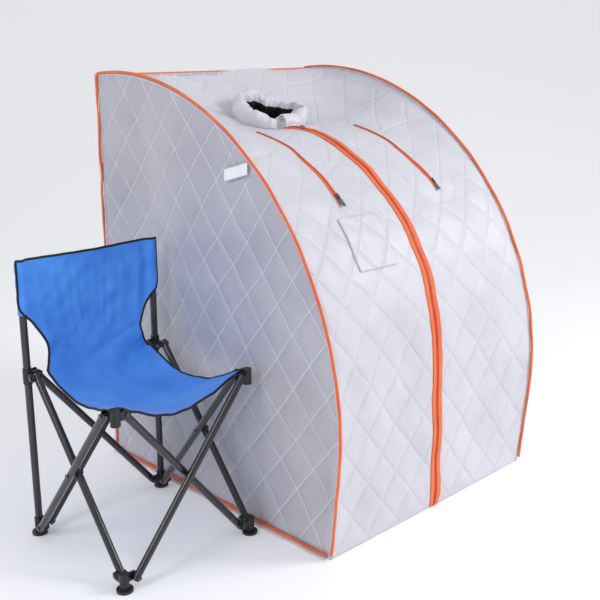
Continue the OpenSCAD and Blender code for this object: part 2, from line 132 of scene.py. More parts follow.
class Noise:
    """Smooth seeded noise: a sum of plane waves with random directions and phases."""

    def __init__(self, seed, scale, waves=24, dims=3):
        rng = np.random.default_rng(seed)
        directions = rng.normal(size=(waves, dims))
        directions /= np.linalg.norm(directions, axis=1, keepdims=True)
        spread = rng.uniform(0.6, 1.6, size=(waves, 1))
        self.k = directions * spread * (2.0 * math.pi / scale)
        self.phase = rng.uniform(0, 2.0 * math.pi, size=waves)
        self.gain = 1.0 / math.sqrt(waves / 2.0)

    def __call__(self, points):
        points = np.asarray(points, float)
        return self.gain * np.sin(points @ self.k.T + self.phase).sum(axis=-1)


def arch_angle(v):
    return np.minimum(ARCH_END, ARCH_START + v * FRONT_LEN / ARCH_R)


def arch_yz(v):
    """Side arch at a share v of its length, from the rear corner to the floor."""
    a = arch_angle(v)
    beyond = np.maximum(0.0, v * FRONT_LEN - ARCH_LEN)
    y = ARCH_CY - ARCH_R * np.sin(a) - np.cos(a) * beyond
    z = ARCH_CZ + ARCH_R * np.cos(a) - np.sin(a) * beyond
    return y, z


def centre_yz(v):
    """Centre line at the same share v: dish behind the collar, zip arc, upright foot."""
    t = np.clip(v / DISH_V, 0, 1)
    weights = ((1 - t) ** 3, 3 * t * (1 - t) ** 2, 3 * t * t * (1 - t), t ** 3)
    dish_y = sum(w * p[0] for w, p in zip(weights, DISH))
    dish_z = sum(w * p[1] for w, p in zip(weights, DISH))
    a = 0.5 * math.pi * np.clip((v - DISH_V) / (ZIP_V - DISH_V), 0, 1)
    arc_y = ZIP_CY - ZIP_R * np.sin(a)
    arc_z = ZIP_CZ + ZIP_R * np.cos(a)
    low = np.clip((v - ZIP_V) / (1 - ZIP_V), 0, 1)
    arc_z = arc_z - np.where(v > ZIP_V, ZIP_CZ * low, 0.0)
    return np.where(v < DISH_V, dish_y, arc_y), np.where(v < DISH_V, dish_z, arc_z)


def cover_points(x, v):
    """Points of the cover's outer face for arrays x and v."""
    blend = 1.0 - np.clip(np.abs(x) / HALF_W, 0, 1) ** 3
    ay, az = arch_yz(v)
    cy, cz = centre_yz(v)
    return np.stack([x, ay * (1 - blend) + cy * blend, az * (1 - blend) + cz * blend], axis=-1)


def cover_normals(x, v):
    step = 1e-3
    along_x = cover_points(x + step, v) - cover_points(x - step, v)
    along_v = cover_points(x, np.minimum(v + step, 1)) - cover_points(x, np.maximum(v - step, 0))
    n = np.cross(along_v, along_x)
    n /= np.linalg.norm(n, axis=-1, keepdims=True)
    return n


def quilt_uv(a, b, seed):
    """Coordinates along a quilted sheet, in metres, with the small drift of hand-fed stitching."""
    drift = 0.03 * QUILT_H * Noise(seed, 0.35, dims=2)(np.stack([a, b], axis=-1))
    return np.stack([a, b + drift], axis=-1)


def quilt(uv):
    """Height 0..1 of the padding over a quilted sheet: 0 on the stitch lines, 1 in the middle."""
    p = uv[..., 0] / QUILT_W + uv[..., 1] / QUILT_H
    q = uv[..., 0] / QUILT_W - uv[..., 1] / QUILT_H
    to_line = np.minimum(np.abs(p - np.round(p)), np.abs(q - np.round(q)))
    distance = to_line * QUILT_SPAN
    crease = 1.0 - np.exp(-(distance / STITCH_W) ** 2)
    crown = np.clip(distance / (0.5 * QUILT_SPAN), 0, 1)
    return 0.5 * crease + 0.5 * np.sin(0.5 * math.pi * crown)


# ---------------------------------------------------------------- mesh helpers


def mesh_object(name, vertices, faces):
    """Mesh with smooth faces from vertices and faces, linked to the scene."""
    mesh = bpy.data.meshes.new(name)
    mesh.from_pydata([tuple(map(float, p)) for p in vertices], [], [tuple(map(int, f)) for f in faces])
    mesh.validate()
    mesh.update()
    obj = bpy.data.objects.new(name, mesh)
    bpy.context.scene.collection.objects.link(obj)
    mesh.polygons.foreach_set("use_smooth", [True] * len(mesh.polygons))
    return obj


def grid_faces(rows, cols, wrap_cols=False):
    """Quads of a grid of points; wrap_cols joins its last column to its first."""
    i, j = np.meshgrid(np.arange(rows - 1), np.arange(cols if wrap_cols else cols - 1), indexing="ij")
    i2, j2 = i + 1, (j + 1) % cols
    quads = np.stack([i * cols + j, i * cols + j2, i2 * cols + j2, i2 * cols + j], axis=-1)
    return quads.reshape(-1, 4)


def apply_modifiers(obj):
    depsgraph = bpy.context.evaluated_depsgraph_get()
    mesh = bpy.data.meshes.new_from_object(obj.evaluated_get(depsgraph))
    obj.modifiers.clear()
    obj.data = mesh
    return obj


def thicken(obj, thickness, offset=-1.0):
    solid = obj.modifiers.new("thickness", "SOLIDIFY")
    solid.thickness = thickness
    solid.offset = offset
    solid.use_even_offset = False
    return apply_modifiers(obj)


def set_uv(obj, uv):
    """Writes one uv per vertex to every face corner."""
    layer = obj.data.uv_layers.new(name="quilt")
    corner_vertex = np.empty(len(obj.data.loops), np.int32)
    obj.data.loops.foreach_get("vertex_index", corner_vertex)
    layer.data.foreach_set("uv", uv.reshape(-1, 2)[corner_vertex].astype(np.float32).ravel())


def sheet(name, points, thickness, flip=False, keep=None, uv=None):
    """Closed sheet from a grid of points; keep is an optional mask of the faces to keep."""
    rows, cols = points.shape[:2]
    faces = grid_faces(rows, cols)
    if keep is not None:
        centres = points.reshape(-1, 3)[faces].mean(axis=1)
        faces = faces[keep(centres)]
    if flip:
        faces = faces[:, ::-1]
    obj = mesh_object(name, points.reshape(-1, 3), faces)
    if uv is not None:
        set_uv(obj, uv)
    weld(obj)
    return thicken(obj, thickness)


def weld(obj):
    welder = obj.modifiers.new("weld", "WELD")
    welder.merge_threshold = 1e-5
    return apply_modifiers(obj)


def frames_along(path):
    """Tangent and two normals at each point of a path, without twist."""
    path = np.asarray(path, float)
    tangents = np.gradient(path, axis=0)
    tangents /= np.linalg.norm(tangents, axis=1, keepdims=True)
    normal = np.cross(tangents[0], (0.3, 0.5, 0.81))
    normal /= np.linalg.norm(normal)
    firsts, seconds = [], []
    for t in tangents:
        normal = normal - t * (normal @ t)
        normal /= np.linalg.norm(normal)
        firsts.append(normal)
        seconds.append(np.cross(t, normal))
    return tangents, np.array(firsts), np.array(seconds)


def tube(name, path, radius, sides=12):
    """Round cord along a path, with closed rounded ends; radius is a number or one per point."""
    path = np.asarray(path, float)
    radius = np.broadcast_to(np.asarray(radius, float), (len(path),)).copy()
    tangents, first, second = frames_along(path)
    head = path[0] - tangents[0] * radius[0] * 0.6
    tail = path[-1] + tangents[-1] * radius[-1] * 0.6
    angle = np.linspace(0, 2 * math.pi, sides, endpoint=False)
    ring = np.cos(angle)[None, :, None] * first[:, None, :]
    ring = ring + np.sin(angle)[None, :, None] * second[:, None, :]
    body = path[:, None, :] + ring * radius[:, None, None]
    vertices = np.concatenate([body.reshape(-1, 3), [head, tail]])
    faces = [tuple(f) for f in grid_faces(len(path), sides, wrap_cols=True)]
    last = (len(path) - 1) * sides
    for s in range(sides):
        faces.append((len(vertices) - 2, (s + 1) % sides, s))
        faces.append((len(vertices) - 1, last + s, last + (s + 1) % sides))
    return mesh_object(name, vertices, faces)


def resample(path, step):
    path = np.asarray(path, float)
    lengths = np.concatenate([[0], np.cumsum(np.linalg.norm(np.diff(path, axis=0), axis=1))])
    count = max(2, int(round(lengths[-1] / step)) + 1)
    at = np.linspace(0, lengths[-1], count)
    return np.stack([np.interp(at, lengths, path[:, k]) for k in range(3)], axis=-1)


def spline(points, t):
    """Smooth curve through control points; t runs from 0 to 1."""
    p = np.asarray(points, float)
    p = np.concatenate([2 * p[:1] - p[1:2], p, 2 * p[-1:] - p[-2:-1]])
    at = np.clip(t, 0, 1) * (len(points) - 1)
    k = np.minimum(at.astype(int), len(points) - 2)
    f = (at - k)[:, None]
    a, b, c, d = p[k], p[k + 1], p[k + 2], p[k + 3]
    square, cube = 2 * a - 5 * b + 4 * c - d, 3 * b - a - 3 * c + d
    return 0.5 * (2 * b + (c - a) * f + square * f ** 2 + cube * f ** 3)


def pinned_cloth(grid, pins, frames, slack, bending, gravity, wrap=False):
    """Runs a cloth simulation on a single sheet held at its pins and returns the settled grid."""
    stiffness = 20.0
    rows, cols = grid.shape[:2]
    obj = mesh_object("cloth_trial", grid.reshape(-1, 3), grid_faces(rows, cols, wrap_cols=wrap))
    group = obj.vertex_groups.new(name="pins")
    for index, weight in enumerate(pins.reshape(-1)):
        if weight > 0:
            group.add([index], float(weight), "REPLACE")
    cloth = obj.modifiers.new("cloth", "CLOTH")
    settings = cloth.settings
    settings.vertex_group_mass = "pins"
    settings.quality = 8
    settings.mass = 0.25
    settings.tension_stiffness = stiffness
    settings.compression_stiffness = stiffness
    settings.shear_stiffness = stiffness * 0.5
    settings.bending_stiffness = bending
    settings.air_damping = 2.0
    settings.shrink_min = -slack
    settings.shrink_max = -slack
    settings.effector_weights.gravity = gravity
    cloth.point_cache.frame_start = 1
    cloth.point_cache.frame_end = frames
    scene = bpy.context.scene
    for frame_number in range(1, frames + 1):
        scene.frame_set(frame_number)
    depsgraph = bpy.context.evaluated_depsgraph_get()
    mesh = obj.evaluated_get(depsgraph).to_mesh()
    settled = np.empty(len(mesh.vertices) * 3, np.float32)
    mesh.vertices.foreach_get("co", settled)
    bpy.data.objects.remove(obj)
    scene.frame_set(1)
    return settled.astype(float).reshape(rows, cols, 3)


# ---------------------------------------------------------------- materials


def new_material(name, roughness, metallic=0.0):
    material = bpy.data.materials.new(name)
    material.use_nodes = True
    nodes = material.node_tree.nodes
    shader = nodes["Principled BSDF"]
    shader.inputs["Roughness"].default_value = roughness
    shader.inputs["Metallic"].default_value = metallic
    return material, nodes, material.node_tree.links, shader


def add_node(nodes, kind, **values):
    """New node with the given values on its inputs."""
    node = nodes.new(kind)
    for key, value in values.items():
        node.inputs[key].default_value = value
    return node


def maths(nodes, links, operation, *values):
    """Math node; a value is a number or another node's output."""
    node = nodes.new("ShaderNodeMath")
    node.operation = operation
    for index, value in enumerate(values):
        if isinstance(value, (int, float)):
            node.inputs[index].default_value = value
        else:
            links.new(value, node.inputs[index])
    return node.outputs[0]


def object_vector(nodes):
    return nodes.new("ShaderNodeTexCoord").outputs["Object"]


def noise_height(nodes, links, vector, **values):
    noise = add_node(nodes, "ShaderNodeTexNoise", **values)
    links.new(vector, noise.inputs["Vector"])
    return noise.outputs["Fac"]


def colour_noise(nodes, links, vector, dark, light, scale):
    """Soft patches between a dark and a light tone; scale is in patches per metre."""
    noise = noise_height(nodes, links, vector, Scale=scale, Detail=4.0)
    ramp = nodes.new("ShaderNodeValToRGB")
    for element, position, colour in zip(ramp.color_ramp.elements, (0.35, 0.65), (dark, light)):
        element.position = position
        element.color = (*colour, 1)
    links.new(noise, ramp.inputs["Fac"])
    return ramp.outputs["Color"]


def weave_height(nodes, links, vector, threads_per_metre):
    """Height of a plain weave: two crossed sets of threads."""
    waves = []
    for axis in ("X", "Y", "Z"):
        wave = nodes.new("ShaderNodeTexWave")
        wave.bands_direction = axis
        wave.inputs["Scale"].default_value = threads_per_metre / 20.0
        wave.inputs["Distortion"].default_value = 0.6
        wave.inputs["Detail"].default_value = 1.0
        links.new(vector, wave.inputs["Vector"])
        waves.append(wave.outputs["Fac"])
    crossed = maths(nodes, links, "MAXIMUM", waves[0], waves[1])
    return maths(nodes, links, "MAXIMUM", crossed, waves[2])


def add_bump(nodes, links, shader, *heights):
    """Chains bump nodes, each from a (height output, strength, distance)."""
    normal = None
    for height, strength, distance in heights:
        bump = add_node(nodes, "ShaderNodeBump", Strength=strength, Distance=distance)
        links.new(height, bump.inputs["Height"])
        if normal is not None:
            links.new(normal, bump.inputs["Normal"])
        normal = bump.outputs["Normal"]
    links.new(normal, shader.inputs["Normal"])


def fabric_material(name, dark, light, roughness, threads, sheen=0.2, weave=0.25):
    """Woven cloth: soft tone patches, fine wrinkles and a weave of so many threads per metre."""
    material, nodes, links, shader = new_material(name, roughness)
    vector = object_vector(nodes)
    links.new(colour_noise(nodes, links, vector, dark, light, 9.0), shader.inputs["Base Color"])
    fine = noise_height(nodes, links, vector, Scale=55.0, Detail=6.0)
    shader.inputs["Sheen Weight"].default_value = sheen
    shader.inputs["Sheen Roughness"].default_value = 0.4
    shader.inputs["Specular IOR Level"].default_value = 0.35
    woven = weave_height(nodes, links, vector, threads)
    add_bump(nodes, links, shader, (fine, 0.25, 0.002), (woven, weave, 0.0004))
    return material


def fade_out(nodes, links, value, near, far):
    """1 where value is below near, 0 above far."""
    node = nodes.new("ShaderNodeMapRange")
    node.interpolation_type = "SMOOTHSTEP"
    for name, number in (("From Min", near), ("From Max", far), ("To Min", 1.0), ("To Max", 0.0)):
        node.inputs[name].default_value = number
    links.new(value, node.inputs["Value"])
    return node.outputs["Result"]


def quilt_material(name, dark, light, painted_line_highlight, highlight_strength):
    """Coated quilted cloth: fine weave, soft wrinkles, stitch lines that follow the padding, and a painted
    highlight: a lighter colour along the stitch lines.
    """
    material, nodes, links, shader = new_material(name, 0.46)
    vector = object_vector(nodes)

    def op(kind, *values):
        return maths(nodes, links, kind, *values)

    uv = nodes.new("ShaderNodeUVMap")
    uv.uv_map = "quilt"
    split = nodes.new("ShaderNodeSeparateXYZ")
    links.new(uv.outputs["UV"], split.inputs[0])
    a = op("DIVIDE", split.outputs[0], QUILT_W)
    b = op("DIVIDE", split.outputs[1], QUILT_H)
    p = op("ADD", a, b)
    q = op("SUBTRACT", a, b)
    near_p, near_q = (op("PINGPONG", k, 0.5) for k in (p, q))
    near = op("MINIMUM", near_p, near_q)
    distance = op("MULTIPLY", near, QUILT_SPAN)
    line = fade_out(nodes, links, distance, 0.0006, 0.0022)
    groove = fade_out(nodes, links, distance, 0.0, 0.0060)
    turns = 2 * math.pi * QUILT_SPAN / STITCH_PITCH
    stitch_p = op("SINE", op("MULTIPLY", p, turns))
    stitch_q = op("SINE", op("MULTIPLY", q, turns))
    stitches = op("MULTIPLY", op("ADD", stitch_p, stitch_q), 0.25)
    # Painted highlight: a lighter colour along the stitch lines, where the pressed creases catch the light.
    painted_highlight_mask = op("MULTIPLY", line, highlight_strength)
    base = colour_noise(nodes, links, vector, dark, light, 7.0)
    mix = nodes.new("ShaderNodeMixRGB")
    mix.inputs["Color2"].default_value = (*painted_line_highlight, 1)
    links.new(painted_highlight_mask, mix.inputs["Fac"])
    links.new(base, mix.inputs["Color1"])
    links.new(mix.outputs["Color"], shader.inputs["Base Color"])
    shader.inputs["Sheen Weight"].default_value = 0.12
    shader.inputs["Specular IOR Level"].default_value = 0.4
    wrinkles = noise_height(nodes, links, vector, Scale=26.0, Detail=5.0, Distortion=0.8)
    fine = noise_height(nodes, links, vector, Scale=1400.0, Detail=2.0)
    sunk = op("MULTIPLY", groove, -1.0)
    seam = op("ADD", sunk, op("MULTIPLY", line, stitches))
    add_bump(nodes, links, shader, (wrinkles, 0.35, 0.006), (seam, 0.55, 0.0018),
             (fine, 0.10, 0.0003))
    return material


def plastic_material(name, dark, light, roughness, grain=0.12):
    material, nodes, links, shader = new_material(name, roughness)
    vector = object_vector(nodes)
    links.new(colour_noise(nodes, links, vector, dark, light, 30.0), shader.inputs["Base Color"])
    fine = noise_height(nodes, links, vector, Scale=900.0, Detail=3.0)
    add_bump(nodes, links, shader, (fine, grain, 0.0005))
    return material


def metal_material(name, dark, light, roughness, metallic, coat=0.0):
    material, nodes, links, shader = new_material(name, roughness, metallic)
    vector = object_vector(nodes)
    links.new(colour_noise(nodes, links, vector, dark, light, 14.0), shader.inputs["Base Color"])
    fine = noise_height(nodes, links, vector, Scale=400.0, Detail=4.0)
    spread = nodes.new("ShaderNodeMapRange")
    spread.inputs["To Min"].default_value = roughness - 0.08
    spread.inputs["To Max"].default_value = roughness + 0.10
    links.new(fine, spread.inputs["Value"])
    links.new(spread.outputs["Result"], shader.inputs["Roughness"])
    shader.inputs["Coat Weight"].default_value = coat
    shader.inputs["Coat Roughness"].default_value = 0.15
    add_bump(nodes, links, shader, (fine, 0.06, 0.0004))
    return material


# The sides and back get a darker copy of the same silver quilt as the front: painted shade. The third
# colour of each is a painted highlight along the stitch lines.
SILVER_QUILT_PAINTED_SHADE = quilt_material(
    "silver_quilt_painted_shade", (0.46, 0.45, 0.51), (0.53, 0.52, 0.58), (0.78, 0.77, 0.84), 0.75
)
SILVER_FRONT = quilt_material(
    "silver_quilt_front", (0.62, 0.62, 0.68), (0.68, 0.68, 0.74), (0.80, 0.80, 0.86), 0.35
)
SILVER_CLOTH = fabric_material(
    "silver_cloth", (0.64, 0.64, 0.70), (0.72, 0.72, 0.78), 0.45, 900, sheen=0.15
)
ORANGE_CORD = fabric_material(
    "orange_piping", (0.78, 0.13, 0.035), (0.90, 0.20, 0.06), 0.55, 1400, sheen=0.3, weave=0.5
)
ORANGE_TAPE = fabric_material(
    "orange_zip_tape", (0.80, 0.14, 0.04), (0.92, 0.21, 0.06), 0.6, 1600, sheen=0.2, weave=0.5
)
RED_COIL = plastic_material("zip_coil", (0.50, 0.045, 0.02), (0.62, 0.07, 0.03), 0.35, 0.2)
PALE_FLANGE = fabric_material(
    "seam_flange", (0.78, 0.78, 0.84), (0.86, 0.86, 0.91), 0.5, 900, sheen=0.2
)
FLOOR_CLOTH = fabric_material("floor_cloth", (0.30, 0.30, 0.33), (0.36, 0.36, 0.39), 0.6, 800)
WHITE_TAG = fabric_material("white_tag", (0.90, 0.90, 0.92), (0.95, 0.95, 0.96), 0.6, 1800)
BLUE_SLING = fabric_material(
    "blue_sling", (0.060, 0.275, 0.90), (0.095, 0.36, 0.98), 0.55, 1500, sheen=0.3, weave=0.45
)
BLACK_EDGE = fabric_material(
    "black_binding", (0.008, 0.008, 0.01), (0.02, 0.02, 0.024), 0.7, 1500, weave=0.5
)
BLACK_TUBE = metal_material(
    "black_tube", (0.010, 0.009, 0.010), (0.020, 0.018, 0.020), 0.30, 0.2, coat=0.7
)
BLACK_PLASTIC = plastic_material("black_plastic", (0.010, 0.010, 0.011), (0.022, 0.022, 0.024), 0.42)
DARK_METAL = metal_material("dark_zip_metal", (0.10, 0.10, 0.11), (0.22, 0.22, 0.24), 0.35, 0.9)
# Near-black matte cloth for the sheet in the neck opening: painted shade.
BLACK_SHADE_SHEET = fabric_material(
    "black_painted_shade", (0.004, 0.004, 0.005), (0.008, 0.008, 0.009), 0.9, 900, sheen=0.0
)
FIBRE_ROD = plastic_material("glass_fibre", (0.70, 0.68, 0.60), (0.80, 0.78, 0.70), 0.35, 0.05)


def paint(obj, material):
    obj.data.materials.clear()
    obj.data.materials.append(material)
    for polygon in obj.data.polygons:
        polygon.material_index = 0
    return obj


def finish_piece(obj, material, body, replaced=()):
    paint(obj, material)
    if body is not None:
        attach(obj, body)
    if replaced:
        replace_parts(obj, *replaced)
    return obj


# ---------------------------------------------------------------- tent panels

WRINKLE_LARGE = Noise(11, 0.42)
WRINKLE_SMALL = Noise(12, 0.13)
CREASE = Noise(13, 0.30)


def side_panel(side):
    """One quilted side wall; side is -1 for the left and 1 for the right."""
    step, turn = 0.005, math.radians(35)
    steep = ARCH_CZ + ARCH_R * math.cos(turn)
    arcs = np.arange(turn, 0.003, -step / ARCH_R)
    crown = ARCH_CZ + ARCH_R * np.cos(arcs)
    z = np.concatenate([np.arange(0.0, steep, step), crown, [ARCH_CZ + ARCH_R - 1e-5]])
    lean = (ARCH_END_YZ[1] - z) / math.tan(ARCH_END)
    from_arc = np.sqrt(np.clip(ARCH_R ** 2 - (z - ARCH_CZ) ** 2, 0, None))
    front = np.where(z < ARCH_END_YZ[1], ARCH_END_YZ[0] - lean, ARCH_CY - from_arc)
    back = np.where(z > TENT_H, ARCH_CY + from_arc, BACK_Y)
    cols = int((BACK_Y - SIDE_LOW[1]) / step)
    share = np.linspace(0, 1, cols)
    y = front[:, None] * (1 - share) + back[:, None] * share
    z = np.repeat(z[:, None], cols, axis=1)
    rim = ARCH_R - np.hypot(y - ARCH_CY, np.maximum(z - ARCH_CZ, 0))
    edge = np.minimum.reduce([y - front[:, None], BACK_Y - y, z, rim])
    hold = smooth(0.0, 0.05, np.clip(edge, 0, 1))
    flat = np.stack([np.zeros_like(y), y, z], axis=-1)
    uv = quilt_uv(y, z, 21 + side)
    puff = 0.0042 * quilt(uv) * smooth(0.0, 0.02, np.clip(edge, 0, 1))
    sag = 0.0040 * WRINKLE_LARGE(flat + side) + 0.0010 * WRINKLE_SMALL(flat + side)
    x = side * (HALF_W - FACE_IN + puff + hold * sag)
    points = np.stack([x, y, z], axis=-1)
    name = SIDE_NAMES[side] + "_side"
    obj = sheet(name + "_fabric", points, CLOTH_T, flip=side < 0, uv=uv)
    # Painted shade: the side wall takes the darker copy of the silver quilt.
    return finish_piece(obj, SILVER_QUILT_PAINTED_SHADE, "tent", (name + "_panel",))


def cover_uv(x, v):
    return quilt_uv(x, v * FRONT_LEN, 31)


def cover_relief(x, v):
    """How far the cover's face stands off its smooth form."""
    base = cover_points(x, v)
    rim = smooth(0.0, 0.05, HALF_W - np.abs(x))
    fade = smooth(0.30, 0.72, v) * 0.85 + 0.15
    clear = smooth(0.0, 0.02, HALF_W - np.abs(x)) * smooth(0.010, 0.030, np.abs(x))
    hem = smooth(0.0, 0.03, (1.0 - v) * FRONT_LEN)
    clear = clear * hem
    pads = 0.0030 * quilt(cover_uv(x, v)) * fade * clear
    folds = 0.0030 * WRINKLE_LARGE(base) + 0.0013 * WRINKLE_SMALL(base)
    sharp = 1.0 - np.abs(CREASE(base))
    off_zips = smooth(0.015, 0.05, np.abs(x)) * smooth(0.012, 0.04, np.abs(np.abs(x) - ARM_ZIP_X))
    creases = -0.0035 * np.clip(sharp - 0.78, 0, 1) / 0.22 * (1 - smooth(0.35, 0.7, v)) * off_zips
    return pads + rim * hem * (folds + creases)


def on_cover(x, v, lift):
    """Points a given height above the cover's wrinkled face."""
    return cover_points(x, v) + cover_normals(x, v) * (cover_relief(x, v) + lift)[..., None]


def cover_sheet(name, x, v, thickness=CLOTH_T, lift=-CLOTH_T / 2, flip=False, keep=None):
    return sheet(name, on_cover(x, v, lift), thickness, flip=flip, keep=keep, uv=cover_uv(x, v))


def tilted(points, tilt):
    c, s = math.cos(tilt), math.sin(tilt)
    x, y, z = points[..., 0], points[..., 1], points[..., 2]
    return np.stack([x, y * c - z * s, y * s + z * c], axis=-1)


def collar_local(points):
    """Points in the collar's own frame: its axis is +Z and its base plane is z = 0."""
    return tilted(np.asarray(points, float) - np.array([0, COLLAR_Y, COLLAR_Z]), -COLLAR_TILT)


def collar_world(points):
    return tilted(np.asarray(points, float), COLLAR_TILT) + np.array([0, COLLAR_Y, COLLAR_Z])


def top_cover():
    x, v = np.meshgrid(np.linspace(-HALF_W + 0.001, HALF_W - 0.001, 161),
                       np.linspace(0.0, FRONT_V + 0.001, 80), indexing="ij")

    def outside_collar(centres):
        local = collar_local(centres)
        return np.hypot(local[:, 0], local[:, 1]) > NECK_HOLE_R

    obj = cover_sheet("top_fabric", x, v, keep=outside_collar)
    return finish_piece(obj, SILVER_FRONT, "tent", ("top_cover",))


def fold_line(side):
    """Two points of the diagonal along which a lower front flap turns back."""
    top = cover_points(np.array(side * 0.004), np.array(FLAP_TOP_V))
    low = cover_points(np.array(side * FLAP_LOW[0]), np.array(FLAP_LOW[1]))
    return top, low


def blend_across_fold(obj, side):
    """Works out the diagonal fold of a lower front flap, then bakes the piece's transform into its mesh;
    the piece itself is not bent.
    """
    top, low = fold_line(side)
    along = (low - top) / np.linalg.norm(low - top)
    inward = np.array([-side, 0.0, -1.0])
    inward -= along * (inward @ along)
    inward[1] = 0
    inward /= np.linalg.norm(inward)
    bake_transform(obj)


def front_cover(side):
    x, v = np.meshgrid(side * np.linspace(ZIP_GAP - 0.002, HALF_W - 0.001, 80),
                       np.linspace(FRONT_V, 1.0, 260), indexing="ij")
    name = SIDE_NAMES[side]
    obj = cover_sheet(name + "_front_fabric", x, v, flip=side < 0)
    paint(obj, SILVER_FRONT)
    blend_across_fold(obj, side)
    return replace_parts(obj, name + "_front_cover", name + "_door_flap")


def back_panel():
    x, z = np.meshgrid(np.linspace(-HALF_W + 0.004, HALF_W - 0.004, 127),
                       np.linspace(0, TENT_H - 0.002, 180), indexing="ij")
    edge = np.minimum.reduce([HALF_W - np.abs(x), z, TENT_H - z])
    flat = np.stack([x, np.zeros_like(x), z], axis=-1)
    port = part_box("steam_port")
    centre = [(a + b) / 2 for a, b in zip(*port)]
    away = np.hypot(x - centre[0], z - centre[2])
    hold = smooth(0.0, 0.05, np.clip(edge, 0, 1)) * smooth(0.03, 0.08, away)
    uv = quilt_uv(x, z, 41)
    puff = 0.005 * quilt(uv) * smooth(0.0, 0.02, np.clip(edge, 0, 1)) * smooth(0.028, 0.05, away)
    y = BACK_Y - FACE_IN + puff + hold * 0.004 * WRINKLE_LARGE(flat)
    points = np.stack([x, y, z], axis=-1)

    def outside_port(centres):
        return np.hypot(centres[:, 0] - centre[0], centres[:, 2] - centre[2]) > PORT_HOLE_R

    obj = sheet("back_fabric", points, CLOTH_T, keep=outside_port, uv=uv)
    # Painted shade: the back takes the darker copy of the silver quilt.
    return finish_piece(obj, SILVER_QUILT_PAINTED_SHADE, "tent", ("back_panel",))


for tent_side in (-1, 1):
    side_panel(tent_side)
    front_cover(tent_side)
top_cover()
back_panel()

# ---------------------------------------------------------------- piping and seam flange


def side_path(side):
    """Seam round a side wall: up the back edge, over the arch and down the front edge."""
    radius_out, step = 0.0022, 0.006
    x = side * (HALF_W - 0.001)
    back_z = np.arange(0.006, TENT_H - 0.002, step)
    back = np.stack([np.full_like(back_z, x), np.full_like(back_z, BACK_Y + radius_out), back_z], axis=-1)
    v = np.arange(0.003, 0.994, step / FRONT_LEN)
    y, z = arch_yz(v)
    a = arch_angle(v)
    arch = np.stack([np.full_like(v, x), y - radius_out * np.sin(a), z + radius_out * np.cos(a)], axis=-1)
    return np.concatenate([back, arch])


def side_piping(side):
    path = resample(side_path(side), 0.005)
    wobble = Noise(51 + side, 0.16)
    rear = smooth(0.2, 0.35, path[:, 1]) * (path[:, 2] < TENT_H - 0.03)
    path[:, 1] += (0.0006 + 0.0018 * rear) * wobble(path) * 0.6
    path[:, 0] += side * 0.0008 * Noise(61 + side, 0.10)(path)
    name = SIDE_NAMES[side]
    obj = tube(name + "_piping_cord", path, PIPING_R, 12)
    finish_piece(obj, ORANGE_CORD, "tent", (name + "_piping",))
    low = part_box(name + "_piping")
    y = np.arange(ARCH_END_YZ[0] + 0.03, BACK_Y - 0.004, 0.006)
    x = side * (HALF_W + 0.0032)
    floor_path = np.stack([np.full_like(y, x), y, np.full_like(y, low[0][2] + 0.0065)], axis=-1)
    floor_path[:, 2] += 0.0008 * wobble(floor_path)
    obj = tube(name + "_floor_piping", floor_path, PIPING_R, 12)
    return finish_piece(obj, ORANGE_CORD, "tent")


def seam_flange(side):
    """Pale turned edge outside the piping, down the back seam and along the floor seam."""
    name = SIDE_NAMES[side]
    wave = Noise(121 + side, 0.11)
    z = np.arange(0.004, TENT_H + 0.004, 0.006)
    out = np.linspace(0.0, FLANGE_W, 4)
    z2, out2 = np.meshgrid(z, out, indexing="ij")
    x = side * (HALF_W - 0.001 + 0.0012 * wave(np.stack([z2, out2, z2], axis=-1)) * out2 / 0.01)
    back = np.stack([x, BACK_Y + out2, z2], axis=-1)
    obj = sheet(name + "_back_flange", back, FLANGE_T, flip=side < 0)
    finish_piece(obj, PALE_FLANGE, "tent")
    y = np.arange(ARCH_END_YZ[0] + 0.03, BACK_Y + 0.006, 0.006)
    y2, out2 = np.meshgrid(y, np.linspace(0.0, 0.012, 4), indexing="ij")
    z2 = 0.0035 - 0.0030 * out2 / 0.012 + 0.0006 * wave(np.stack([y2, out2, y2], axis=-1))
    low = np.stack([side * (HALF_W - 0.001 + out2), y2, z2], axis=-1)
    obj = sheet(name + "_floor_flange", low, FLANGE_T, flip=side < 0)
    return finish_piece(obj, PALE_FLANGE, "tent")


def rear_piping():
    x = np.linspace(-HALF_W + 0.001, HALF_W - 0.001, 117)
    path = np.stack([x, np.full_like(x, BACK_Y + 0.0034), np.full_like(x, TENT_H - 0.001)], axis=-1)
    path[:, 2] -= 0.0012 * (1 - (x / HALF_W) ** 2)
    obj = tube("rear_piping_cord", path, PIPING_R, 12)
    return finish_piece(obj, ORANGE_CORD, "tent", ("rear_piping",))


for tent_side in (-1, 1):
    side_piping(tent_side)
    seam_flange(tent_side)
rear_piping()

# ---------------------------------------------------------------- zips


def zip_strip(name, rows, v, lift, thickness, teeth=0.0, flip=False):
    """Strip along the front, one row of x values per line; teeth adds a ridge at every coil turn."""
    height = lift + teeth * (0.5 + 0.5 * np.cos(2 * math.pi * v * FRONT_LEN / COIL_PITCH))
    points = np.stack([on_cover(np.broadcast_to(x, v.shape), v, height) for x in rows])
    return sheet(name, points, thickness, flip=flip)


